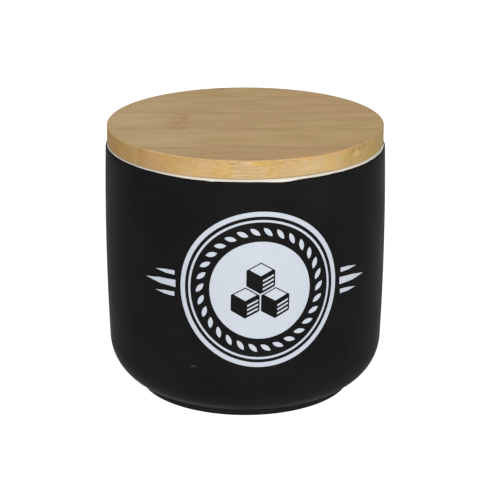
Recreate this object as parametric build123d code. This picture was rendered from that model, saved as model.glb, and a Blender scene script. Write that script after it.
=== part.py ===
from build123d import *
import math
import os

# Sugar bowl: a stoneware jar with a white glaze, a matt black coat outside and a printed badge.
# Its bamboo lid is glued up from strips: a round plate that rests on the jar's lip, and under it
# a plug with a groove, where a silicone ring seals the mouth.
# Millimetres, +Z up. The origin is on the table, under the middle of the foot. The badge faces -Y.

# --- jar: driving dimensions ---
BELLY_RADIUS = 50.5  # widest point of the wall, outside the coat
BELLY_HEIGHT = 57.5
WALL_BOW_RADIUS = 1010.0  # the wall is very slightly barrel-shaped
RIM_HEIGHT = 90.8  # top of the lip, where the lid rests
LIP_ROUND = 2.2  # rounding of the lip's outer edge, outside the coat
LIP_INNER_ROUND = 1.6
MOUTH_RADIUS = 46.0
HEEL_TOP_HEIGHT = 17.6  # where the wall turns in towards the foot
HEEL_RADIUS = 17.0
LEDGE_HEIGHT = 3.5  # underside of the heel, just outside the foot
FOOT_RADIUS = 38.5
FOOT_WIDTH = 3.8
FOOT_EDGE_ROUND = 0.4  # the ring's inner edge
FOOT_CORNER_ROUND = 0.6  # hollow corner between the foot and the heel
RECESS_HEIGHT = 2.0  # hollow under the floor, inside the foot
RECESS_ROUND = 0.8
FLOOR_HEIGHT = 6.6  # inside floor
INNER_HEEL_RADIUS = 13.0

# --- black coat ---
COAT_THICKNESS = 0.2
COAT_TOP_ANGLE = 30.0  # how far the coat climbs round the lip, in degrees above level
COAT_BOTTOM_HEIGHT = 0.2  # bare clay below this, round the foot's outer edge

# --- printed badge ---
PRINT_THICKNESS = 0.08
BADGE_TURN = 5.8  # degrees round the jar from the front, towards +X
BADGE_HEIGHT = 51.5  # of the badge's centre
BADGE_TILT = -1.0  # degrees
BADGE_RINGS = [(26.5, 28.2), (24.5, 25.3)]  # inner and outer radius of each ring
BADGE_DISC_RADIUS = 17.6
LEAF_COUNT = 30
LEAF_RING_RADIUS = 21.1
LEAF_LENGTH = 4.2
LEAF_WIDTH = 1.7
LEAF_SLANT = 38.0  # degrees from the ring's own direction
CUBE_EDGE = 6.0
CUBE_GAP = 0.5  # white line between two cubes
CUBE_LINE = 0.75  # black line round a cube's top face
HATCH_COUNT = 3
HATCH_WIDTH = 0.65
# Each bar on both sides: height, inner end, outer end, half its width at the inner end.
SIDE_BARS = [(0.0, 30.2, 43.0, 1.3), (3.9, 30.6, 38.5, 0.8), (-3.9, 30.6, 38.5, 0.8)]
BAR_WAIST = 0.8  # a bar's width half way along, as a part of its width at the inner end
CIRCLE_POINTS = 24

# --- lid ---
LID_RADIUS = 49.4
LID_THICKNESS = 6.6
LID_EDGE_ROUND = 0.4
STRIP_WIDTH = 22.8
PLATE_SEAMS = [-33.3 + STRIP_WIDTH * i for i in range(4)]  # Y of the glue lines
PLUG_RADIUS = 43.6
PLUG_DEPTH = 9.0
PLUG_CHAMFER = 0.8
PLUG_SEAMS = [-STRIP_WIDTH, 0.0, STRIP_WIDTH]  # X of the glue lines
GROOVE_RADIUS = 41.9
GROOVE_TOP = RIM_HEIGHT - 2.6
GROOVE_BOTTOM = RIM_HEIGHT - 7.2

# --- silicone ring ---
SEAL_CLEARANCE = 0.05  # to the groove, all round
SEAL_BAND_RADIUS = 43.3
SEAL_TIP_RADIUS = MOUTH_RADIUS - 0.1
FIN_ROOT_HEIGHTS = [0.75, 2.85]  # above the ring's lower face
FIN_ROOT = 0.9
FIN_TIP = 0.4
FIN_RISE = 0.75


def on_circle(centre, radius, angle):
    """The point (r, z) of a circle at an angle in degrees above level."""
    a = math.radians(angle)
    return (centre[0] + radius * math.cos(a), centre[1] + radius * math.sin(a))


def at(point):
    """A profile point (r, z) in the XZ plane."""
    return (point[0], 0, point[1])


def arc(centre, radius, start, end):
    """An arc of a profile circle, from one angle to another."""
    ends = [on_circle(centre, radius, a) for a in (start, (start + end) / 2, end)]
    return ThreePointArc(*[at(p) for p in ends])


def line(*points):
    return Polyline(*[at(p) for p in points])


def turned(*edges):
    """The solid that a closed profile sweeps round the Z axis."""
    outline = Wire([edge for part in edges for edge in part.edges()])
    return revolve(Face(outline), Axis.Z)


def solids_of(shape):
    return [Solid(s.wrapped) for s in shape.solids()]


def write(name, shapes):
    export_step(Compound(children=shapes), f"parts/{name}.step")


# The jar's outline: lip, wall and heel are tangent arcs, and each surface under the coat is
# the same arc with a smaller radius.
WALL_CENTRE = (BELLY_RADIUS - WALL_BOW_RADIUS, BELLY_HEIGHT)
LIP_TANGENT = math.degrees(
    math.asin(
        (RIM_HEIGHT + COAT_THICKNESS - LIP_ROUND - BELLY_HEIGHT) / (WALL_BOW_RADIUS - LIP_ROUND)
    )
)
LIP_CENTRE = on_circle(WALL_CENTRE, WALL_BOW_RADIUS - LIP_ROUND, LIP_TANGENT)
HEEL_TANGENT = math.degrees(math.asin((HEEL_TOP_HEIGHT - BELLY_HEIGHT) / WALL_BOW_RADIUS))
HEEL_CENTRE = on_circle(WALL_CENTRE, WALL_BOW_RADIUS - HEEL_RADIUS, HEEL_TANGENT)
FOOT_CORNER = (FOOT_RADIUS + FOOT_CORNER_ROUND, LEDGE_HEIGHT - FOOT_CORNER_ROUND)


def heel_end(inset):
    """The angle at which the heel's arc meets the ledge, for a surface that far inside the coat's."""
    drop = HEEL_CENTRE[1] - (LEDGE_HEIGHT + inset)
    return -math.degrees(math.asin(drop / (HEEL_RADIUS - inset)))


def outer_outline(inset, lowest, top_angle):
    """The jar's outside from the foot's wall at height lowest to an angle on the lip."""
    heel_radius = HEEL_RADIUS - inset
    corner_radius = FOOT_CORNER_ROUND + inset
    end = heel_end(inset)
    return [
        line((FOOT_RADIUS - inset, lowest), on_circle(FOOT_CORNER, corner_radius, 180)),
        arc(FOOT_CORNER, corner_radius, 180, 90),
        line(on_circle(FOOT_CORNER, corner_radius, 90), on_circle(HEEL_CENTRE, heel_radius, end)),
        arc(HEEL_CENTRE, heel_radius, end, HEEL_TANGENT),
        arc(WALL_CENTRE, WALL_BOW_RADIUS - inset, HEEL_TANGENT, LIP_TANGENT),
        arc(LIP_CENTRE, LIP_ROUND - inset, LIP_TANGENT, top_angle),
    ]


def jar_body():
    inner_lip = (MOUTH_RADIUS + LIP_INNER_ROUND, RIM_HEIGHT - LIP_INNER_ROUND)
    inner_heel = (MOUTH_RADIUS - INNER_HEEL_RADIUS, FLOOR_HEIGHT + INNER_HEEL_RADIUS)
    foot_inside = FOOT_RADIUS - FOOT_WIDTH
    foot_outside = FOOT_RADIUS - COAT_THICKNESS
    recess_corner = (foot_inside - RECESS_ROUND, RECESS_HEIGHT - RECESS_ROUND)
    inner_edge = (foot_inside + FOOT_EDGE_ROUND, FOOT_EDGE_ROUND)
    outer_edge = (foot_outside - COAT_BOTTOM_HEIGHT, COAT_BOTTOM_HEIGHT)
    return turned(
        *outer_outline(COAT_THICKNESS, COAT_BOTTOM_HEIGHT, 90),
        line((LIP_CENTRE[0], RIM_HEIGHT), (inner_lip[0], RIM_HEIGHT)),
        arc(inner_lip, LIP_INNER_ROUND, 90, 180),
        line((MOUTH_RADIUS, inner_lip[1]), (MOUTH_RADIUS, inner_heel[1])),
        arc(inner_heel, INNER_HEEL_RADIUS, 0, -90),
        line(
            (inner_heel[0], FLOOR_HEIGHT),
            (0, FLOOR_HEIGHT),
            (0, RECESS_HEIGHT),
            (recess_corner[0], RECESS_HEIGHT),
        ),
        arc(recess_corner, RECESS_ROUND, 90, 0),
        line((foot_inside, recess_corner[1]), (foot_inside, FOOT_EDGE_ROUND)),
        arc(inner_edge, FOOT_EDGE_ROUND, 180, 270),
        line((inner_edge[0], 0), (outer_edge[0], 0)),
        arc(outer_edge, COAT_BOTTOM_HEIGHT, 270, 360),
    )


def outer_glaze():
    foot_inside = FOOT_RADIUS - COAT_THICKNESS
    lip_ends = [
        on_circle(LIP_CENTRE, LIP_ROUND - inset, COAT_TOP_ANGLE) for inset in (0, COAT_THICKNESS)
    ]
    return turned(
        *outer_outline(0, COAT_BOTTOM_HEIGHT, COAT_TOP_ANGLE),
        line(*lip_ends),
        *outer_outline(COAT_THICKNESS, COAT_BOTTOM_HEIGHT, COAT_TOP_ANGLE),
        line((foot_inside, COAT_BOTTOM_HEIGHT), (FOOT_RADIUS, COAT_BOTTOM_HEIGHT)),
    )


# --- badge, drawn flat as (along the wall, up) and wrapped on the wall ---


def wrapped(point):
    """A flat badge point as a point of the plane that faces the badge."""
    u, v = point
    a = math.radians(BADGE_TILT)
    u, v = u * math.cos(a) - v * math.sin(a), u * math.sin(a) + v * math.cos(a)
    return (BELLY_RADIUS * math.sin(u / BELLY_RADIUS), v)


def polar(radius, angle):
    return on_circle((0, 0), radius, angle)


def disc(radius):
    points = [polar(radius, 360 * i / CIRCLE_POINTS) for i in range(CIRCLE_POINTS)]
    return make_face(Spline(*[wrapped(p) for p in points], periodic=True))


def polygon(points):
    return make_face(Polyline(*[wrapped(p) for p in points], close=True))


def leaf(centre, angle):
    """A pointed leaf, its long axis at an angle."""
    along, across = polar(LEAF_LENGTH / 2, angle), polar(LEAF_WIDTH / 2, angle + 90)
    ends = [(centre[0] + s * along[0], centre[1] + s * along[1]) for s in (-1, 1)]
    sides = [(centre[0] + s * across[0], centre[1] + s * across[1]) for s in (-1, 1)]
    first = ThreePointArc(wrapped(ends[0]), wrapped(sides[0]), wrapped(ends[1]))
    second = ThreePointArc(wrapped(ends[1]), wrapped(sides[1]), wrapped(ends[0]))
    return make_face(first + second)


def leaf_ring():
    angles = [360 * i / LEAF_COUNT for i in range(LEAF_COUNT)]
    return [leaf(polar(LEAF_RING_RADIUS, a), a + 90 - LEAF_SLANT) for a in angles]


def cube_centres():
    """Three cubes in a pile, seen along a corner: two below and one above, centred on the disc."""
    half_width = CUBE_EDGE * math.cos(math.radians(30))
    lower = -0.75 * CUBE_EDGE
    return [(-half_width, lower), (half_width, lower), (0, lower + 1.5 * CUBE_EDGE)]


def hexagon(centre):
    radius = CUBE_EDGE - CUBE_GAP / 2 / math.cos(math.radians(30))
    corners = [polar(radius, 30 + 60 * i) for i in range(6)]
    return polygon([(centre[0] + x, centre[1] + y) for x, y in corners])


def cube_top(centre):
    """The lit top face of a cube, a rhomb inside its black outline."""
    half_height = CUBE_EDGE / 2 - CUBE_LINE
    half_width = half_height / math.tan(math.radians(30))
    x, y = centre[0], centre[1] + CUBE_EDGE / 2
    return polygon(
        [(x - half_width, y), (x, y - half_height), (x + half_width, y), (x, y + half_height)]
    )


def cube_hatch(centre):
    """The lines that shade a cube's right face. They run along its lower edge."""
    face_width = CUBE_EDGE * math.cos(math.radians(30))
    left, right = CUBE_LINE, face_width - CUBE_LINE
    slope = math.tan(math.radians(30))
    bars = []
    for i in range(HATCH_COUNT):
        drop = CUBE_EDGE * (i + 1) / (HATCH_COUNT + 1)
        low, high = -drop - HATCH_WIDTH / 2, -drop + HATCH_WIDTH / 2
        corners = [(left, low), (right, low), (right, high), (left, high)]
        bars.append(
            polygon([(centre[0] + x, centre[1] + slope * x + y) for x, y in corners])
        )
    return bars


def side_bars():
    """Bars that taper away from the rings, on both sides."""
    bars = []
    for height, inner, outer, half in SIDE_BARS:
        middle = (inner + outer) / 2
        waist = half * BAR_WAIST
        for side in (-1, 1):
            outline = [(inner, -half), (middle, -waist), (outer, 0), (middle, waist), (inner, half)]
            bars.append(polygon([(side * u, height + v) for u, v in outline]))
    return bars


def badge_faces():
    rings = [disc(outer) - disc(inner) for inner, outer in BADGE_RINGS]
    plate = disc(BADGE_DISC_RADIUS)
    cubes = []
    for centre in cube_centres():
        plate = plate - hexagon(centre)
        cubes += [cube_top(centre), *cube_hatch(centre)]
    return [*rings, plate, *cubes, *leaf_ring(), *side_bars()]


def label_print():
    """The badge as thin prints on the coat: each flat shape is pushed through a thin shell,
    from well inside the wall to well outside it."""
    low, high = HEEL_TANGENT, LIP_TANGENT
    skin_radius = WALL_BOW_RADIUS + PRINT_THICKNESS
    shell = turned(
        arc(WALL_CENTRE, WALL_BOW_RADIUS, low, high),
        line(*[on_circle(WALL_CENTRE, r, high) for r in (WALL_BOW_RADIUS, skin_radius)]),
        arc(WALL_CENTRE, skin_radius, high, low),
        line(*[on_circle(WALL_CENTRE, r, low) for r in (skin_radius, WALL_BOW_RADIUS)]),
    )
    a = math.radians(BADGE_TURN)
    outward = (math.sin(a), -math.cos(a), 0)
    sideways = (math.cos(a), math.sin(a), 0)
    facing = Plane(origin=(0, 0, BADGE_HEIGHT), x_dir=sideways, z_dir=outward)
    start, reach = BELLY_RADIUS / 2, BELLY_RADIUS
    prints = []
    for face in badge_faces():
        block = extrude(facing.offset(start) * face, amount=reach, dir=outward)
        prints += solids_of(shell & block)
    return prints


# --- lid and seal ---


def lid_plate():
    low, high, e = RIM_HEIGHT, RIM_HEIGHT + LID_THICKNESS, LID_EDGE_ROUND
    return turned(
        line((0, low), (LID_RADIUS - e, low)),
        arc((LID_RADIUS - e, low + e), e, 270, 360),
        line((LID_RADIUS, low + e), (LID_RADIUS, high - e)),
        arc((LID_RADIUS - e, high - e), e, 0, 90),
        line((LID_RADIUS - e, high), (0, high), (0, low)),
    )


def lid_plug():
    top, bottom = RIM_HEIGHT, RIM_HEIGHT - PLUG_DEPTH
    return turned(
        line(
            (0, top),
            (PLUG_RADIUS, top),
            (PLUG_RADIUS, GROOVE_TOP),
            (GROOVE_RADIUS, GROOVE_TOP),
            (GROOVE_RADIUS, GROOVE_BOTTOM),
            (PLUG_RADIUS, GROOVE_BOTTOM),
            (PLUG_RADIUS, bottom + PLUG_CHAMFER),
            (PLUG_RADIUS - PLUG_CHAMFER, bottom),
            (0, bottom),
            (0, top),
        )
    )


def strips(board, seams, along_x):
    """A board cut at its glue lines into the strips that it is made of."""
    edges = [-LID_RADIUS * 2, *seams, LID_RADIUS * 2]
    length = LID_RADIUS * 4
    pieces = []
    for low, high in zip(edges, edges[1:]):
        size = (length, high - low) if along_x else (high - low, length)
        middle = (low + high) / 2
        place = (0, middle, RIM_HEIGHT) if along_x else (middle, 0, RIM_HEIGHT)
        pieces.append(solids_of(board & (Pos(*place) * Box(*size, length))))
    return pieces


def seal_ring():
    bottom, top = GROOVE_BOTTOM + SEAL_CLEARANCE, GROOVE_TOP - SEAL_CLEARANCE
    inner = GROOVE_RADIUS + SEAL_CLEARANCE
    outline = [(inner, bottom), (SEAL_BAND_RADIUS, bottom)]
    for root in FIN_ROOT_HEIGHTS:
        tip = bottom + root + FIN_RISE
        outline += [
            (SEAL_BAND_RADIUS, bottom + root),
            (SEAL_TIP_RADIUS, tip),
            (SEAL_TIP_RADIUS, tip + FIN_TIP),
            (SEAL_BAND_RADIUS, bottom + root + FIN_ROOT),
        ]
    outline += [(SEAL_BAND_RADIUS, top), (inner, top), (inner, bottom)]
    return turned(line(*outline))


def main():
    os.makedirs("parts", exist_ok=True)
    write("jar_body", solids_of(jar_body()))
    write("outer_glaze", solids_of(outer_glaze()))
    write("label_print", label_print())
    for i, strip in enumerate(strips(lid_plate(), PLATE_SEAMS, along_x=True), start=1):
        write(f"lid_plate_strip_{i}", strip)
    for i, strip in enumerate(strips(lid_plug(), PLUG_SEAMS, along_x=False), start=1):
        write(f"lid_plug_strip_{i}", strip)
    write("seal_ring", solids_of(seal_ring()))


main()
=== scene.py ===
import math

import bpy
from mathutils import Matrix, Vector, noise


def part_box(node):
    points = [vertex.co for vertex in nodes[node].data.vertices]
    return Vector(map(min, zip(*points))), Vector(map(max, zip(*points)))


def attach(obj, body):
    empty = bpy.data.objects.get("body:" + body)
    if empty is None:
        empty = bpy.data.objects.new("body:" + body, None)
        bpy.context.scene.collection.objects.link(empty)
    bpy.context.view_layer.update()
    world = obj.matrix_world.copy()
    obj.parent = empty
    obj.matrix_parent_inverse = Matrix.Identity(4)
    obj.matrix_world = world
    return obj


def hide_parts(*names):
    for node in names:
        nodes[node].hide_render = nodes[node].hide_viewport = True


# The looks of a sugar bowl: a white-glazed jar in a matt black coat, a printed badge, a bamboo
# lid glued up from strips, and a silicone ring in the lid's plug. Metres, in the CAD's frame.

MM = 0.001

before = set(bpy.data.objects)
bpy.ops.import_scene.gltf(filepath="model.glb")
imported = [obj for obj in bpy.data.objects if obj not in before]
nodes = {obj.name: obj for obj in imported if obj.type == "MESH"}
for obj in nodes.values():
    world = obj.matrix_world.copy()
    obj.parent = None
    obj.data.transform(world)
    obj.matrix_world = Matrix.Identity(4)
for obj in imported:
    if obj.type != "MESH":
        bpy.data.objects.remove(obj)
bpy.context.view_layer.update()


# --- building materials from nodes ---

# Where each kind of mark starts and ends its fade, as shares of its radii. A ring fades away to
# both sides of RING_MIDDLE.
MARK_FADES = {"soft": (0.0, 1.0), "crisp": (0.7, 1.0), "ring": (0.08, 0.22)}
RING_MIDDLE = 0.78


class Graph:
    """Short calls for one material's nodes. Each returns an output socket."""

    def __init__(self, name):
        self.material = bpy.data.materials.new(name)
        self.material.use_nodes = True
        self.tree = self.material.node_tree
        self.tree.nodes.clear()
        self.shader = self.add("BsdfPrincipled")
        output = self.add("OutputMaterial")
        self.tree.links.new(self.shader.outputs[0], output.inputs["Surface"])

    def add(self, kind, inputs=None, **settings):
        node = self.tree.nodes.new("ShaderNode" + kind)
        for name, value in settings.items():
            setattr(node, name, value)
        for key, value in (inputs or {}).items():
            self.set(node.inputs[key], value)
        return node

    def set(self, socket, value):
        if isinstance(value, bpy.types.NodeSocket):
            self.tree.links.new(value, socket)
        else:
            socket.default_value = value

    def finish(self, **inputs):
        """Sets the shader's own sockets, with _ for a space in their names."""
        for name, value in inputs.items():
            self.set(self.shader.inputs[name.replace("_", " ")], value)
        return self.material

    def place(self):
        """The point in the row frame at rest, in metres."""
        return self.add("TexCoord").outputs["Object"]

    def facing(self):
        """The surface's own direction in the same frame."""
        return self.add("TexCoord").outputs["Normal"]

    def split(self, vector):
        return list(self.add("SeparateXYZ", {0: vector}).outputs)

    def join(self, x, y, z):
        return self.add("CombineXYZ", {0: x, 1: y, 2: z}).outputs[0]

    def math(self, operation, a, b=0.0):
        return self.add("Math", {0: a, 1: b}, operation=operation).outputs[0]

    def vector(self, operation, a, b):
        return self.add("VectorMath", {0: a, 1: b}, operation=operation).outputs[0]

    def noise(self, vector, per_metre, detail=2.0, roughness=0.5):
        """Noise from 0 to 1, with its pitch given for each axis."""
        scaled = self.vector("MULTIPLY", vector, per_metre)
        inputs = {"Vector": scaled, "Scale": 1.0, "Detail": detail, "Roughness": roughness}
        return self.add("TexNoise", inputs).outputs[0]

    def cells(self, vector, per_metre, randomness=0.9):
        """Distance to the nearest cell's centre, and that cell's own random colour."""
        scaled = self.vector("MULTIPLY", vector, per_metre)
        inputs = {"Vector": scaled, "Scale": 1.0, "Randomness": randomness}
        return self.add("TexVoronoi", inputs).outputs[:2]

    def fade(self, value, low, high, to_low=0.0, to_high=1.0):
        """Smoothly from to_low, where value is low, to to_high, where it is high."""
        inputs = {"Value": value, 1: low, 2: high, 3: to_low, 4: to_high}
        return self.add("MapRange", inputs, interpolation_type="SMOOTHSTEP").outputs[0]

    def mix(self, factor, a, b, blend="MIX"):
        colours = [v if isinstance(v, bpy.types.NodeSocket) else (*v, 1.0) for v in (a, b)]
        inputs = {0: factor, 6: colours[0], 7: colours[1]}
        return self.add("Mix", inputs, data_type="RGBA", blend_type=blend).outputs[2]

    def bump(self, height, distance, strength=1.0, under=None):
        inputs = {"Height": height, "Distance": distance, "Strength": strength}
        if under is not None:
            inputs["Normal"] = under
        return self.add("Bump", inputs).outputs[0]

    def wobble(self, vector, per_metre, reach):
        """The point moved about by up to half of reach, so that marks lose their even outlines."""
        scaled = self.vector("MULTIPLY", vector, per_metre)
        drift = self.add("TexNoise", {"Vector": scaled, "Scale": 1.0, "Detail": 2.0}).outputs["Color"]
        offset = self.vector("MULTIPLY", self.vector("SUBTRACT", drift, (0.5, 0.5, 0.5)), reach)
        return self.vector("ADD", vector, offset)

    def blob(self, place, centre, radii, kind="soft"):
        """A mark that ends on an ellipsoid round centre: soft, crisp, or a thin ring."""
        offset = self.vector("SUBTRACT", place, centre)
        scaled = self.vector("DIVIDE", offset, radii)
        distance = self.add("VectorMath", {0: scaled}, operation="LENGTH").outputs["Value"]
        if kind == "ring":
            distance = self.math("ABSOLUTE", self.math("SUBTRACT", distance, RING_MIDDLE))
        start, end = MARK_FADES[kind]
        return self.fade(distance, start, end, 1.0, 0.0)


# --- bamboo ---

BAMBOO_LIGHT = (0.434, 0.310, 0.154)
BAMBOO_MID = (0.384, 0.264, 0.122)
BAMBOO_DARK = (0.296, 0.195, 0.084)
BUNDLE_COLOUR = (0.24, 0.130, 0.040)
KNUCKLE_COLOUR = (0.315, 0.165, 0.072)
GLUE_COLOUR = (0.20, 0.125, 0.055)
# A painted highlight for the lid strips' rounded corners, where the bevel would catch the light.
CORNER_HIGHLIGHT = (0.45, 0.32, 0.15)

# Tints that the wood's own colour is multiplied by, in patches, on the side faces and at the ends. The
# left end's tint is also painted shade, darker for light that falls from the right.
PINKISH = (1.025, 0.98, 0.985)
GREENISH = (0.985, 1.01, 0.98)
SIDE_GOLD = (1.01, 1.055, 0.90)
SIDE_PALE = (0.99, 1.075, 1.18)
LEFT_END_GRAIN_AND_SHADE = (0.79, 0.63, 0.43)
RIGHT_END_TINT = (0.74, 0.72, 0.54)

# How often the grain changes in a metre: along the fibres, and then across them both ways.
FIBRE_DRIFT = (14, 40, 40)
BROAD_GRAIN = (40, 230, 230)
STREAK_GRAIN = (120, 900, 900)
FINE_GRAIN = (420, 1900, 1900)
BUNDLE_GRAIN = (45, 2400, 2400)
FIBRE_BEND = 2.4 * MM
# How far each step of a strip's seed moves its grain, in metres in the same order.
SEED_STEPS = (0.31, 0.17, 0.23)

GLUE_WIDTH = 0.30 * MM
STRIP_EDGE_WIDTH = 1.2 * MM
KNUCKLE_BEND = 13 * MM
BLUSH_REACH = (1.0 * MM, 5.0 * MM)
RIDGE_OFFSET = 2.0 * MM
RIDGE_REACH = (0.1 * MM, 0.9 * MM)


def knuckle_shade(g, shifted, along, position):
    """The ragged blush and the two fine ridges where a leaf was cut off the stalk."""
    ragged = g.noise(shifted, (90, 240, 240), 3.0, 0.6)
    bend = g.math("MULTIPLY", g.math("SUBTRACT", ragged, 0.5), KNUCKLE_BEND)
    offset = g.math("ABSOLUTE", g.math("SUBTRACT", g.math("ADD", along, bend), position))
    broken = g.fade(g.noise(shifted, (300, 500, 500), 2.0), 0.38, 0.62, 0.25, 1.0)
    blush = g.math("MULTIPLY", g.fade(offset, *BLUSH_REACH, 0.5, 0.0), broken)
    from_ridge = g.math("ABSOLUTE", g.math("SUBTRACT", offset, RIDGE_OFFSET))
    ridge = g.math("MULTIPLY", g.fade(from_ridge, *RIDGE_REACH, 0.9, 0.0), broken)
    return g.math("MAXIMUM", blush, ridge)


def facings(g, along_x):
    """How much a face is a side face, a rounded corner (which gets a painted highlight), and one that
    looks to either end of the fibres.
    """
    normal = g.split(g.facing())
    end_facing = normal[0 if along_x else 1]
    upright = g.math("ABSOLUTE", normal[2])
    side = g.fade(upright, 0.2, 0.7, 1.0, 0.0)
    corner = g.fade(g.math("ABSOLUTE", g.math("SUBTRACT", upright, 0.65)), 0.1, 0.3, 0.35, 0.0)
    left_end = g.fade(end_facing, -0.98, -0.20, 1.0, 0.0)
    right_end = g.fade(end_facing, 0.50, 0.98)
    return side, corner, left_end, right_end


def wood_colour(g, fibre, value):
    """Light and dark wood by value from 0 to 1, in faintly pink and green patches."""
    colour = g.mix(g.fade(value, 0.34, 0.66), BAMBOO_DARK, BAMBOO_LIGHT)
    colour = g.mix(0.6, colour, BAMBOO_MID)
    patch = g.mix(g.fade(g.noise(fibre, (75, 95, 95), 2.0), 0.35, 0.65), PINKISH, GREENISH)
    return g.mix(1.0, colour, patch, "MULTIPLY")


def fibre_bundles(g, fibre, side):
    """The short dark dashes of the stalk's fibre bundles, plainest on side faces."""
    distance, cell = g.cells(fibre, BUNDLE_GRAIN)
    size = g.math("MULTIPLY", g.split(cell)[0], 0.2)
    bundle = g.fade(g.math("SUBTRACT", distance, size), 0.08, 0.34, 1.0, 0.0)
    return g.math("MULTIPLY", bundle, g.fade(side, 0.0, 1.0, 0.2, 0.5))


def glue_seams(g, shifted, across, span):
    """The glue line at each edge of the strip, in a darker margin, both stronger in places."""
    low, high = span
    edge = g.math("MINIMUM", g.math("SUBTRACT", across, low), g.math("SUBTRACT", high, across))
    patchy = g.fade(g.noise(shifted, (60, 0, 0), 2.0), 0.35, 0.6, 0.15, 1.0)
    margin = g.fade(edge, 0.0, STRIP_EDGE_WIDTH, 0.28, 0.0)
    glue = g.fade(edge, 0.0, GLUE_WIDTH, 0.6, 0.0)
    return g.math("MULTIPLY", g.math("MAXIMUM", margin, glue), patchy)


def side_tint(g, place, side):
    """White on the flat faces, and patches of gold and pale on the side faces."""
    tint = g.mix(g.fade(g.noise(place, (190, 190, 90), 2.0), 0.38, 0.62), SIDE_GOLD, SIDE_PALE)
    return g.mix(side, (1.0, 1.0, 1.0), tint)


def bamboo(name, along_x, span, seed, tone, knuckles=(), marks=()):
    """A strip of bamboo. span is the strip's low and high edge across its fibres, tone tints it,
    each knuckle is a place along the strip, and each mark is (kind, centre, radii, colour, strength)."""
    g = Graph(name)
    place = g.place()
    x, y, z = g.split(place)
    along, across = (x, y) if along_x else (y, x)
    offset = [seed * step for step in SEED_STEPS]
    shifted = g.vector("ADD", g.join(along, across, z), offset)
    fibre = g.wobble(shifted, FIBRE_DRIFT, (0.0, FIBRE_BEND, 0.0))
    side, corner, left_end, right_end = facings(g, along_x)

    broad = g.noise(fibre, BROAD_GRAIN, 2.0)
    streak = g.noise(fibre, STREAK_GRAIN, 3.0, 0.6)
    fine = g.noise(fibre, FINE_GRAIN, 3.0, 0.7)
    value = g.math("ADD", g.math("MULTIPLY", broad, 0.55), g.math("MULTIPLY", streak, 0.45))
    colour = wood_colour(g, fibre, value)
    fleck = g.math("MULTIPLY", g.fade(fine, 0.3, 0.65, 1.0, 0.0), g.fade(side, 0.0, 1.0, 0.3, 0.62))
    colour = g.mix(fleck, colour, BAMBOO_DARK)
    # The end faces' tints; on the left end this is partly painted shade.
    for end, tint in ((left_end, LEFT_END_GRAIN_AND_SHADE), (right_end, RIGHT_END_TINT)):
        colour = g.mix(end, colour, g.mix(1.0, colour, tint, "MULTIPLY"))
    bundle = fibre_bundles(g, fibre, side)
    colour = g.mix(bundle, colour, BUNDLE_COLOUR)

    smudged = g.wobble(place, (500, 500, 500), (2.0 * MM, 0.5 * MM, 0.5 * MM))
    for kind, centre, radii, mark_colour, strength in marks:
        spot = g.math("MULTIPLY", g.blob(smudged, centre, radii, kind), strength)
        colour = g.mix(spot, colour, mark_colour)
    for position in knuckles:
        colour = g.mix(knuckle_shade(g, shifted, along, position), colour, KNUCKLE_COLOUR)

    seam = glue_seams(g, shifted, across, span)
    colour = g.mix(seam, colour, GLUE_COLOUR)
    # Painted highlight along the rounded top and bottom corners.
    colour = g.mix(corner, colour, CORNER_HIGHLIGHT)
    colour = g.mix(1.0, colour, side_tint(g, place, side), "MULTIPLY")
    colour = g.mix(1.0, colour, tone, "MULTIPLY")

    relief = g.math("ADD", g.math("MULTIPLY", streak, 0.6), g.math("MULTIPLY", fine, 0.4))
    relief = g.math("SUBTRACT", relief, g.math("MULTIPLY", bundle, 0.4))
    relief = g.math("SUBTRACT", relief, seam)
    return g.finish(
        Base_Color=colour,
        Roughness=g.fade(value, 0.3, 0.7, 0.74, 0.64),
        Specular_IOR_Level=0.14,
        Normal=g.bump(relief, 0.05 * MM, 0.6),
    )


# --- glazes, print, silicone ---

GLAZE_WHITE = (0.72, 0.70, 0.655)
GLAZE_POOL = (0.66, 0.63, 0.57)
# Painted shade: the glaze darkens towards the rim, for the lid's shadow on the lip.
GLAZE_LIP_SHADE = (0.52, 0.488, 0.425)
LIP_SHADE_HEIGHTS = (86 * MM, 89.5 * MM)
CLAY = (0.56, 0.47, 0.36)
CLAY_PALE = (0.68, 0.60, 0.49)
BARE_CLAY_HEIGHTS = (0.35 * MM, 0.60 * MM)
BARE_CLAY_RAGGED = 0.4 * MM
GLAZE_ROUGHNESS = 0.14
CLAY_ROUGHER_BY = 0.7


def white_glaze():
    """Gloss white glaze that pools a little, darker near the rim as painted shade under the lid, and the
    bare clay of the foot ring.
    """
    g = Graph("white_glaze")
    place = g.place()
    pool = g.noise(place, (45, 45, 45), 2.0)
    colour = g.mix(g.fade(pool, 0.35, 0.7), GLAZE_POOL, GLAZE_WHITE)
    height = g.split(place)[2]
    # Painted shade under the lid, on the top of the lip and just inside it.
    colour = g.mix(g.fade(height, *LIP_SHADE_HEIGHTS), colour, GLAZE_LIP_SHADE)
    specks, _ = g.cells(place, (260, 260, 260), 1.0)
    colour = g.mix(g.fade(specks, 0.03, 0.07, 0.5, 0.0), colour, CLAY)
    grain = g.noise(place, (2600, 2600, 2600), 3.0, 0.7)
    clay = g.mix(g.fade(grain, 0.35, 0.65), CLAY, CLAY_PALE)
    ragged = g.math("MULTIPLY", g.noise(place, (900, 900, 900), 2.0), BARE_CLAY_RAGGED)
    wiped = g.math("ADD", height, ragged)
    bare = g.fade(wiped, *BARE_CLAY_HEIGHTS, 1.0, 0.0)
    colour = g.mix(bare, colour, clay)
    ripple = g.noise(place, (170, 170, 170), 2.0)
    orange_peel = g.bump(ripple, 0.05 * MM, 0.5)
    rough_clay = g.math("MULTIPLY", grain, bare)
    return g.finish(
        Base_Color=colour,
        Roughness=g.math("ADD", GLAZE_ROUGHNESS, g.math("MULTIPLY", bare, CLAY_ROUGHER_BY)),
        Coat_Weight=0.3,
        Coat_Roughness=0.08,
        Normal=g.bump(rough_clay, 0.06 * MM, 1.0, orange_peel),
    )


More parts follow.
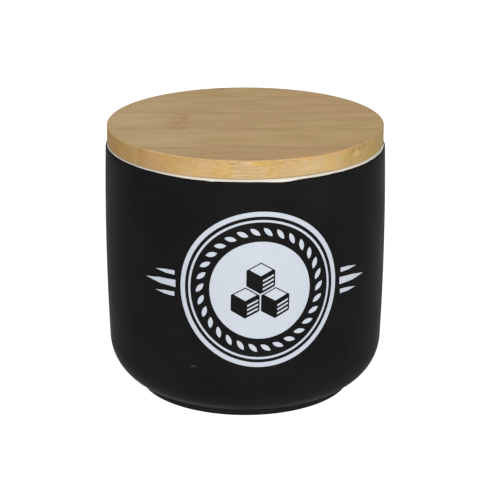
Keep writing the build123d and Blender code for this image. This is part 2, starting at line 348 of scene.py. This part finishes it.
COAT_BLACK = (0.0051, 0.0051, 0.0053)
COAT_WORN = (0.0070, 0.0069, 0.0066)
# Painted reflection: the foot and the heel's lower edge are made paler for the floor's light and sheen
# there.
COAT_FOOT_SHEEN = (0.0096, 0.0095, 0.0093)
FOOT_SHEEN_HEIGHTS = (4.2 * MM, 7.0 * MM)
SCUFF_COLOUR = (0.05, 0.05, 0.05)
SCUFF_CENTRE = (-18.1 * MM, -46.6 * MM, 22.2 * MM)
SCUFF_RADII = (1.5 * MM, 3.0 * MM, 0.7 * MM)
SCUFF_STRENGTH = 0.5


def matt_coat():
    """Matt black coat, faintly mottled, painted paler on the foot and the heel's lower edge as a painted
    reflection of the bright floor, with a fine tooth and a scuff.
    """
    g = Graph("matt_coat")
    place = g.place()
    cloud = g.noise(place, (38, 38, 60), 3.0)
    colour = g.mix(g.fade(cloud, 0.35, 0.7), COAT_BLACK, COAT_WORN)
    height = g.split(place)[2]
    # Painted reflection of the floor, on the foot and the heel's lower edge.
    colour = g.mix(g.fade(height, *FOOT_SHEEN_HEIGHTS, 1.0, 0.0), colour, COAT_FOOT_SHEEN)
    speckle = g.noise(place, (1700, 1700, 1700), 2.0)
    colour = g.mix(g.fade(speckle, 0.62, 0.8, 0.0, 0.25), colour, SCUFF_COLOUR)
    smudged = g.wobble(place, (700, 700, 700), (1.5 * MM, 0.0, 1.5 * MM))
    scuff = g.math("MULTIPLY", g.blob(smudged, SCUFF_CENTRE, SCUFF_RADII), SCUFF_STRENGTH)
    colour = g.mix(scuff, colour, SCUFF_COLOUR)
    tooth = g.noise(place, (2300, 2300, 2300), 3.0, 0.6)
    wave = g.noise(place, (55, 55, 35), 2.0)
    return g.finish(
        Base_Color=colour,
        Roughness=g.fade(cloud, 0.3, 0.7, 0.44, 0.54),
        Specular_IOR_Level=0.013,
        Normal=g.bump(tooth, 0.02 * MM, 0.5, g.bump(wave, 0.10 * MM, 0.4)),
    )


PRINT_COLOUR = (0.335, 0.360, 0.398)
PRINT_THIN = (0.290, 0.312, 0.346)


def print_ink():
    """The badge's bluish-white ink, a little thinner in places."""
    g = Graph("print_ink")
    place = g.place()
    cover = g.noise(place, (420, 420, 420), 3.0, 0.6)
    grain = g.noise(place, (2600, 2600, 2600), 2.0)
    colour = g.mix(g.fade(cover, 0.35, 0.65, 0.25, 0.0), PRINT_COLOUR, PRINT_THIN)
    return g.finish(
        Base_Color=colour,
        Roughness=g.fade(cover, 0.3, 0.7, 0.50, 0.40),
        Specular_IOR_Level=0.35,
        Normal=g.bump(grain, 0.02 * MM, 0.4),
    )


SILICONE_CLEAR = (0.40, 0.40, 0.39)
SILICONE_BLOOM = (0.46, 0.46, 0.45)


def silicone():
    """Soft translucent white rubber with a faint bloom."""
    g = Graph("silicone")
    place = g.place()
    bloom = g.noise(place, (300, 300, 300), 3.0)
    colour = g.mix(g.fade(bloom, 0.4, 0.7), SILICONE_CLEAR, SILICONE_BLOOM)
    fine = g.noise(place, (2000, 2000, 2000), 2.0)
    return g.finish(
        Base_Color=colour,
        Roughness=g.fade(bloom, 0.3, 0.7, 0.40, 0.52),
        Subsurface_Weight=0.25,
        Subsurface_Scale=1.2 * MM,
        Normal=g.bump(fine, 0.02 * MM, 0.3),
    )


def give_material(node, material):
    """Makes a material the only one on a CAD node."""
    mesh = nodes[node].data
    mesh.materials.clear()
    mesh.materials.append(material)


# --- the black coat, with the hand-dipped edge that its CAD solid leaves out ---

COAT_THICKNESS = 0.2 * MM
BELLY_RADIUS = 50.5 * MM
BELLY_HEIGHT = 57.5 * MM
WALL_BOW_RADIUS = 1010.0 * MM
RIM_HEIGHT = 90.8 * MM
LIP_ROUND = 2.2 * MM
HEEL_TOP_HEIGHT = 17.6 * MM
HEEL_RADIUS = 17.0 * MM
LEDGE_HEIGHT = 3.5 * MM
FOOT_CORNER_ROUND = 0.6 * MM
FOOT_RADIUS = 38.5 * MM
COAT_BOTTOM_HEIGHT = 0.2 * MM
COAT_SEGMENTS = 360
FOOT_STEPS = 6
HEEL_STEPS = 28
WALL_STEPS = 24
LIP_STEPS = 10

# The coat's edge on the lip, in degrees up the lip's round. It wanders in waves, each given by its
# pitch, its height in the noise and its reach, and it is rounded over in steps, each given by its
# place between the coat's inside, -1, and outside, 1, and its turn past the edge.
COAT_TOP_ANGLE = 31.0
EDGE_WAVES = [(2.2, 4.0, 5.0), (9.0, 8.0, 2.5)]
EDGE_ROUND = [(1.0, 0.0), (0.8, 1.6), (0.2, 2.6), (-0.6, 2.9)]
# Where the edge dips lower, or climbs higher: turn, width before and after it, drop in degrees.
DIPS = [
    (-74.0, 6.5, 4.4, 12.0),
    (-103.0, 2.0, 1.2, 5.0),
    (-143.0, 24.0, 18.0, -9.7),
    (35.0, 4.0, 1.5, 8.0),
    (118.0, 2.0, 6.0, 9.0),
]


def on_circle(centre, radius, angle):
    """The point at an angle in degrees on a circle."""
    a = math.radians(angle)
    return (centre[0] + radius * math.cos(a), centre[1] + radius * math.sin(a))


WALL_CENTRE = (BELLY_RADIUS - WALL_BOW_RADIUS, BELLY_HEIGHT)
LIP_RISE = RIM_HEIGHT + COAT_THICKNESS - LIP_ROUND - BELLY_HEIGHT
LIP_TANGENT = math.degrees(math.asin(LIP_RISE / (WALL_BOW_RADIUS - LIP_ROUND)))
LIP_CENTRE = on_circle(WALL_CENTRE, WALL_BOW_RADIUS - LIP_ROUND, LIP_TANGENT)
HEEL_TANGENT = math.degrees(math.asin((HEEL_TOP_HEIGHT - BELLY_HEIGHT) / WALL_BOW_RADIUS))
HEEL_CENTRE = on_circle(WALL_CENTRE, WALL_BOW_RADIUS - HEEL_RADIUS, HEEL_TANGENT)
FOOT_CORNER = (FOOT_RADIUS + FOOT_CORNER_ROUND, LEDGE_HEIGHT - FOOT_CORNER_ROUND)


def sweep(centre, radius, start, end, steps):
    """Points of an arc, without its last one."""
    return [on_circle(centre, radius, start + (end - start) * i / steps) for i in range(steps)]


def coat_outline(inset, top_angle):
    """The coat's surface from the foot to its edge on the lip, as (radius, height) points."""
    heel_radius = HEEL_RADIUS - inset
    heel_end = -math.degrees(math.asin((HEEL_CENTRE[1] - LEDGE_HEIGHT - inset) / heel_radius))
    return [
        (FOOT_RADIUS - inset, COAT_BOTTOM_HEIGHT),
        *sweep(FOOT_CORNER, FOOT_CORNER_ROUND + inset, 180, 90, FOOT_STEPS),
        on_circle(FOOT_CORNER, FOOT_CORNER_ROUND + inset, 90),
        *sweep(HEEL_CENTRE, heel_radius, heel_end, HEEL_TANGENT, HEEL_STEPS),
        *sweep(WALL_CENTRE, WALL_BOW_RADIUS - inset, HEEL_TANGENT, LIP_TANGENT, WALL_STEPS),
        *sweep(LIP_CENTRE, LIP_ROUND - inset, LIP_TANGENT, top_angle, LIP_STEPS),
    ]


def coat_edge_angle(turn):
    """How far the coat climbs round the lip at a turn in degrees from +X."""
    a = math.radians(turn)
    angle = COAT_TOP_ANGLE
    for pitch, height, reach in EDGE_WAVES:
        angle += reach * noise.noise(Vector((math.cos(a) * pitch, math.sin(a) * pitch, height)))
    for centre, before, after, drop in DIPS:
        apart = (turn - centre + 180) % 360 - 180
        width = before if apart < 0 else after
        angle -= drop * math.exp(-((apart / width) ** 2))
    return angle


def coat_section(turn):
    """The coat's closed outline at one turn: up its outside, over a rounded edge, down its inside."""
    top = coat_edge_angle(turn)
    middle = LIP_ROUND - COAT_THICKNESS / 2
    edge = [
        on_circle(LIP_CENTRE, middle + COAT_THICKNESS / 2 * outward, top + past)
        for outward, past in EDGE_ROUND
    ]
    return coat_outline(0.0, top) + edge + coat_outline(COAT_THICKNESS, top)[::-1]


def ring_mesh(name, section, segments, closed=True):
    """A ring from the outline that section(turn) gives at each turn, itself closed or open."""
    verts = []
    for i in range(segments):
        turn = 360 * i / segments
        a = math.radians(turn)
        outline = section(turn)
        verts += [(r * math.cos(a), r * math.sin(a), z) for r, z in outline]
    count = len(outline)
    faces = []
    for i in range(segments):
        here, there = i * count, (i + 1) % segments * count
        for j in range(count if closed else count - 1):
            k = (j + 1) % count
            faces.append((here + j, there + j, there + k, here + k))
    mesh = bpy.data.meshes.new(name)
    mesh.from_pydata(verts, [], faces)
    mesh.polygons.foreach_set("use_smooth", [True] * len(faces))
    mesh.update()
    piece = bpy.data.objects.new(name, mesh)
    bpy.context.scene.collection.objects.link(piece)
    return piece


def black_coat():
    piece = ring_mesh("black_coat", coat_section, COAT_SEGMENTS)
    piece.data.materials.append(matt_coat())
    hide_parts("outer_glaze")
    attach(piece, "jar")


# --- the lid's strips ---

LID_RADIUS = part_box("lid_plate_strip_3")[1].x
LID_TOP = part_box("lid_plate_strip_3")[1].z
KNUCKLE_X = -23.5 * MM
RED_BROWN = (0.27, 0.140, 0.050)
DEEP_BROWN = (0.20, 0.105, 0.035)
GOLD = (0.37, 0.225, 0.046)
ORANGE = (0.42, 0.215, 0.072)
PALE = (0.43, 0.320, 0.175)
# Far enough for the lid's own rim to get no glue line.
FAR_OFF = 1.0
# Keeps the plug strips' grain apart from the plate strips'.
PLUG_SEED = 20


def on_rim(x, below_top, back=False):
    """A point on the lid's side face at an x, some way below its top."""
    y = math.sqrt(LID_RADIUS**2 - x**2)
    return (x, y if back else -y, LID_TOP - below_top)


# For each plate strip, front to back: its tone, its knuckles and its marks.
PLATE_STRIPS = [
    (
        (0.955, 0.905, 0.905),
        [],
        [
            ("soft", on_rim(24 * MM, 3.6 * MM), (20 * MM, 9 * MM, 3.6 * MM), PALE, 0.3),
            ("soft", on_rim(-14 * MM, 4 * MM), (16 * MM, 8 * MM, 3.4 * MM), GOLD, 0.16),
            ("soft", on_rim(21 * MM, 0.6 * MM), (6.5 * MM, 3 * MM, 0.8 * MM), ORANGE, 0.7),
            ("soft", on_rim(33.5 * MM, 0.7 * MM), (4.5 * MM, 3 * MM, 0.8 * MM), ORANGE, 0.85),
            ("crisp", on_rim(1.2 * MM, 1.3 * MM), (3.4 * MM, 6 * MM, 1.0 * MM), PALE, 0.4),
            ("crisp", on_rim(5.6 * MM, 1.1 * MM), (4.4 * MM, 6 * MM, 0.8 * MM), GOLD, 0.65),
            ("ring", on_rim(4.0 * MM, 1.0 * MM), (8.4 * MM, 6 * MM, 1.4 * MM), RED_BROWN, 0.22),
            ("soft", on_rim(-4.6 * MM, 1.2 * MM), (2.4 * MM, 3 * MM, 0.6 * MM), RED_BROWN, 0.8),
            ("soft", on_rim(12.0 * MM, 1.1 * MM), (2.6 * MM, 3 * MM, 0.6 * MM), RED_BROWN, 0.6),
        ],
    ),
    (
        (1.0, 1.005, 1.0),
        [],
        [
            ("soft", (-30 * MM, -23 * MM, LID_TOP), (22 * MM, 14 * MM, 2 * MM), PALE, 0.4),
            ("ring", on_rim(38.0 * MM, 1.4 * MM), (2.0 * MM, 2.8 * MM, 1.2 * MM), DEEP_BROWN, 0.85),
            ("soft", on_rim(38.0 * MM, 2.6 * MM), (2.8 * MM, 3.0 * MM, 1.4 * MM), BAMBOO_MID, 0.9),
            ("soft", on_rim(40.4 * MM, 0.6 * MM), (1.5 * MM, 2.4 * MM, 2.2 * MM), DEEP_BROWN, 0.6),
            ("soft", on_rim(45.6 * MM, 0.8 * MM), (1.6 * MM, 3.0 * MM, 2.4 * MM), RED_BROWN, 0.4),
            ("soft", on_rim(39.5 * MM, 4.0 * MM), (0.7 * MM, 1.5 * MM, 3.0 * MM), RED_BROWN, 0.5),
        ],
    ),
    (
        (1.0, 1.0, 1.0),
        [KNUCKLE_X],
        [
            ("soft", (-40 * MM, 0.0, LID_TOP), (20 * MM, 14 * MM, 2 * MM), PALE, 0.35),
            ("soft", (-22 * MM, 4.5 * MM, LID_TOP), (3.0 * MM, 2.0 * MM, 2 * MM), RED_BROWN, 0.50),
            ("soft", (-24.5 * MM, -3.5 * MM, LID_TOP), (3.6 * MM, 2.2 * MM, 2 * MM), RED_BROWN, 0.36),
            ("soft", (-22 * MM, -8.0 * MM, LID_TOP), (4.6 * MM, 1.7 * MM, 2 * MM), RED_BROWN, 0.55),
        ],
    ),
    (
        (0.985, 0.98, 0.975),
        [],
        [("soft", (-30 * MM, 22 * MM, LID_TOP), (18 * MM, 12 * MM, 2 * MM), PALE, 0.3)],
    ),
    (
        (1.0, 0.99, 0.96),
        [],
        [
            ("soft", on_rim(-10.5 * MM, 0.0, back=True), (4.5 * MM, 8 * MM, 3 * MM), RED_BROWN, 0.52),
            ("soft", on_rim(-8.5 * MM, 0.0, back=True), (2.5 * MM, 7 * MM, 3 * MM), DEEP_BROWN, 0.35),
        ],
    ),
]
# For each plug strip, left to right: its tone and its knuckles.
PLUG_STRIPS = [
    ((0.95, 0.93, 0.92), []),
    ((1.03, 1.03, 1.03), [18 * MM]),
    ((0.98, 0.96, 0.94), []),
    ((1.0, 1.0, 1.0), [-26 * MM]),
]


def strip_span(node, axis, first, last):
    """A strip's edges across its fibres, with the lid's own rim moved far out of the glue's reach."""
    low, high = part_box(node)
    return (low[axis] - (FAR_OFF if first else 0.0), high[axis] + (FAR_OFF if last else 0.0))


def lid_strips():
    for i, (tone, knuckles, marks) in enumerate(PLATE_STRIPS, start=1):
        node = f"lid_plate_strip_{i}"
        span = strip_span(node, 1, i == 1, i == len(PLATE_STRIPS))
        material = bamboo(f"bamboo_plate_{i}", True, span, i, tone, knuckles, marks)
        give_material(node, material)
    for i, (tone, knuckles) in enumerate(PLUG_STRIPS, start=1):
        node = f"lid_plug_strip_{i}"
        span = strip_span(node, 0, i == 1, i == len(PLUG_STRIPS))
        material = bamboo(f"bamboo_plug_{i}", False, span, PLUG_SEED + i, tone, knuckles)
        give_material(node, material)


# --- floor, light, camera ---

FLOOR_CENTRE_HOLE = 1.0 * MM
FLOOR_RADIUS = 5.0
COVE_RADIUS = 1.2
COVE_TURN = 75.0
COVE_STEPS = 8
FLOOR_SIDES = 96
FLOOR_GREYS = ((0.24, 0.24, 0.24), (0.26, 0.26, 0.26))
FLOOR_GLOW = 0.92
WHITE = (1.0, 1.0, 1.0, 1.0)


def floor_section(turn):
    """A flat floor that curves up at its far edge, so that low views have no horizon."""
    centre = (FLOOR_RADIUS, COVE_RADIUS)
    cove = sweep(centre, COVE_RADIUS, -90, -90 + COVE_TURN, COVE_STEPS)
    return [(FLOOR_CENTRE_HOLE, 0.0), *cove, on_circle(centre, COVE_RADIUS, -90 + COVE_TURN)]


def floor():
    """Grey paper that glows a little, so that it comes out white all round the object."""
    piece = ring_mesh("floor", floor_section, FLOOR_SIDES, closed=False)
    g = Graph("floor_paper")
    grain = g.noise(g.place(), (300, 300, 300), 2.0)
    colour = g.mix(grain, *FLOOR_GREYS)
    material = g.finish(
        Base_Color=colour,
        Roughness=0.9,
        Specular_IOR_Level=0.0,
        Emission_Color=WHITE,
        Emission_Strength=FLOOR_GLOW,
    )
    piece.data.materials.append(material)


WORLD_STRENGTH = 0.28
LIGHT_TARGET = Vector((0.0, 0.0, 0.05))
# Each panel's name, place, width and height in metres, and its watts.
PANELS = [
    ("front_panel", (0.19, -1.5, 0.75), (0.9, 0.6), 35.0),
    ("top_panel", (0.0, 0.1, 1.5), (1.2, 1.2), 4.6),
    ("back_panel", (-0.5, 1.3, 0.9), (0.9, 0.6), 7.0),
]


def panel_light(name, place, size, watts):
    """A soft white rectangular light that faces the object."""
    light = bpy.data.lights.new(name, "AREA")
    light.shape = "RECTANGLE"
    light.size, light.size_y = size
    light.energy = watts
    lamp = bpy.data.objects.new(name, light)
    lamp.location = place
    lamp.rotation_euler = (LIGHT_TARGET - lamp.location).to_track_quat("-Z", "Y").to_euler()
    bpy.context.scene.collection.objects.link(lamp)


def lights():
    world = bpy.data.worlds.new("studio")
    world.use_nodes = True
    background = world.node_tree.nodes["Background"]
    background.inputs["Color"].default_value = WHITE
    background.inputs["Strength"].default_value = WORLD_STRENGTH
    bpy.context.scene.world = world
    for panel in PANELS:
        panel_light(*panel)


CAMERA_TARGET = Vector((-1.90 * MM, 0.0, 52.7 * MM))
CAMERA_DISTANCE = 721.4 * MM
CAMERA_ELEVATION = 18.745
LENS_MM = 148.5
SENSOR_MM = 36.0
CLIP_NEAR = 0.01
CLIP_FAR = 50.0


def camera():
    elevation = math.radians(CAMERA_ELEVATION)
    back = Vector((0.0, -math.cos(elevation), math.sin(elevation)))
    data = bpy.data.cameras.new("camera")
    data.lens = LENS_MM
    data.sensor_width = SENSOR_MM
    data.clip_start = CLIP_NEAR
    data.clip_end = CLIP_FAR
    eye = bpy.data.objects.new("camera", data)
    eye.location = CAMERA_TARGET + back * CAMERA_DISTANCE
    eye.rotation_euler = (-back).to_track_quat("-Z", "Y").to_euler()
    bpy.context.scene.collection.objects.link(eye)
    bpy.context.scene.camera = eye


def build():
    camera()
    lights()
    floor()
    give_material("jar_body", white_glaze())
    give_material("label_print", print_ink())
    give_material("seal_ring", silicone())
    black_coat()
    lid_strips()
    bpy.context.scene.view_settings.view_transform = "Standard"


build()
